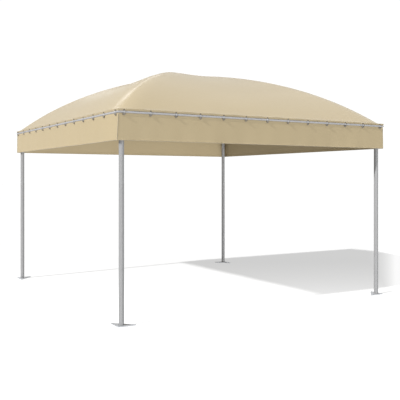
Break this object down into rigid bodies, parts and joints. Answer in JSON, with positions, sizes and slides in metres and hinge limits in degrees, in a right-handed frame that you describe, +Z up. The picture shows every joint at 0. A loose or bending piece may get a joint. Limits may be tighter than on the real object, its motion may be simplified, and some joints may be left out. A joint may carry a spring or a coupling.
{
  "type": "dome-roof gazebo",
  "caption": "Open square garden gazebo: tubular steel posts and crossed arches under a domed fabric roof with a laced eave rail and straight valances.",
  "frame": {"origin": "centre of the plan, on the ground under the base plates", "axes": "+Z up; the sides are square to X and Y, the front faces -Y"},
  "size_m": [4.153, 4.153, 3.2496],
  "materials": {
    "galvanised_steel": "hot-dip galvanised, matt with faint spangle",
    "roof_fabric": "coated tent fabric, soft satin, beige",
    "valance_fabric": "coated tent fabric, soft satin, beige"
  },
  "bodies": {
    "root": {"base_plate_front_left": "galvanised_steel", "base_plate_front_right": "galvanised_steel", "base_plate_back_right": "galvanised_steel", "base_plate_back_left": "galvanised_steel", "post_front_left": "galvanised_steel", "post_front_right": "galvanised_steel", "post_back_right": "galvanised_steel", "post_back_left": "galvanised_steel", "corner_fitting_front_left": "galvanised_steel", "corner_fitting_front_right": "galvanised_steel", "corner_fitting_back_right": "galvanised_steel", "corner_fitting_back_left": "galvanised_steel", "arch_half_front_left": "galvanised_steel", "arch_half_front_right": "galvanised_steel", "arch_half_back_right": "galvanised_steel", "arch_half_back_left": "galvanised_steel", "eave_beam_front": "galvanised_steel", "eave_beam_right": "galvanised_steel", "eave_beam_back": "galvanised_steel", "eave_beam_left": "galvanised_steel", "lacing_rail_front": "galvanised_steel", "lacing_rail_right": "galvanised_steel", "lacing_rail_back": "galvanised_steel", "lacing_rail_left": "galvanised_steel", "crown_hub": "galvanised_steel", "roof_membrane": "roof_fabric", "valance_front": "valance_fabric", "valance_right": "valance_fabric", "valance_back": "valance_fabric", "valance_left": "valance_fabric"}
  },
  "joints": []
}
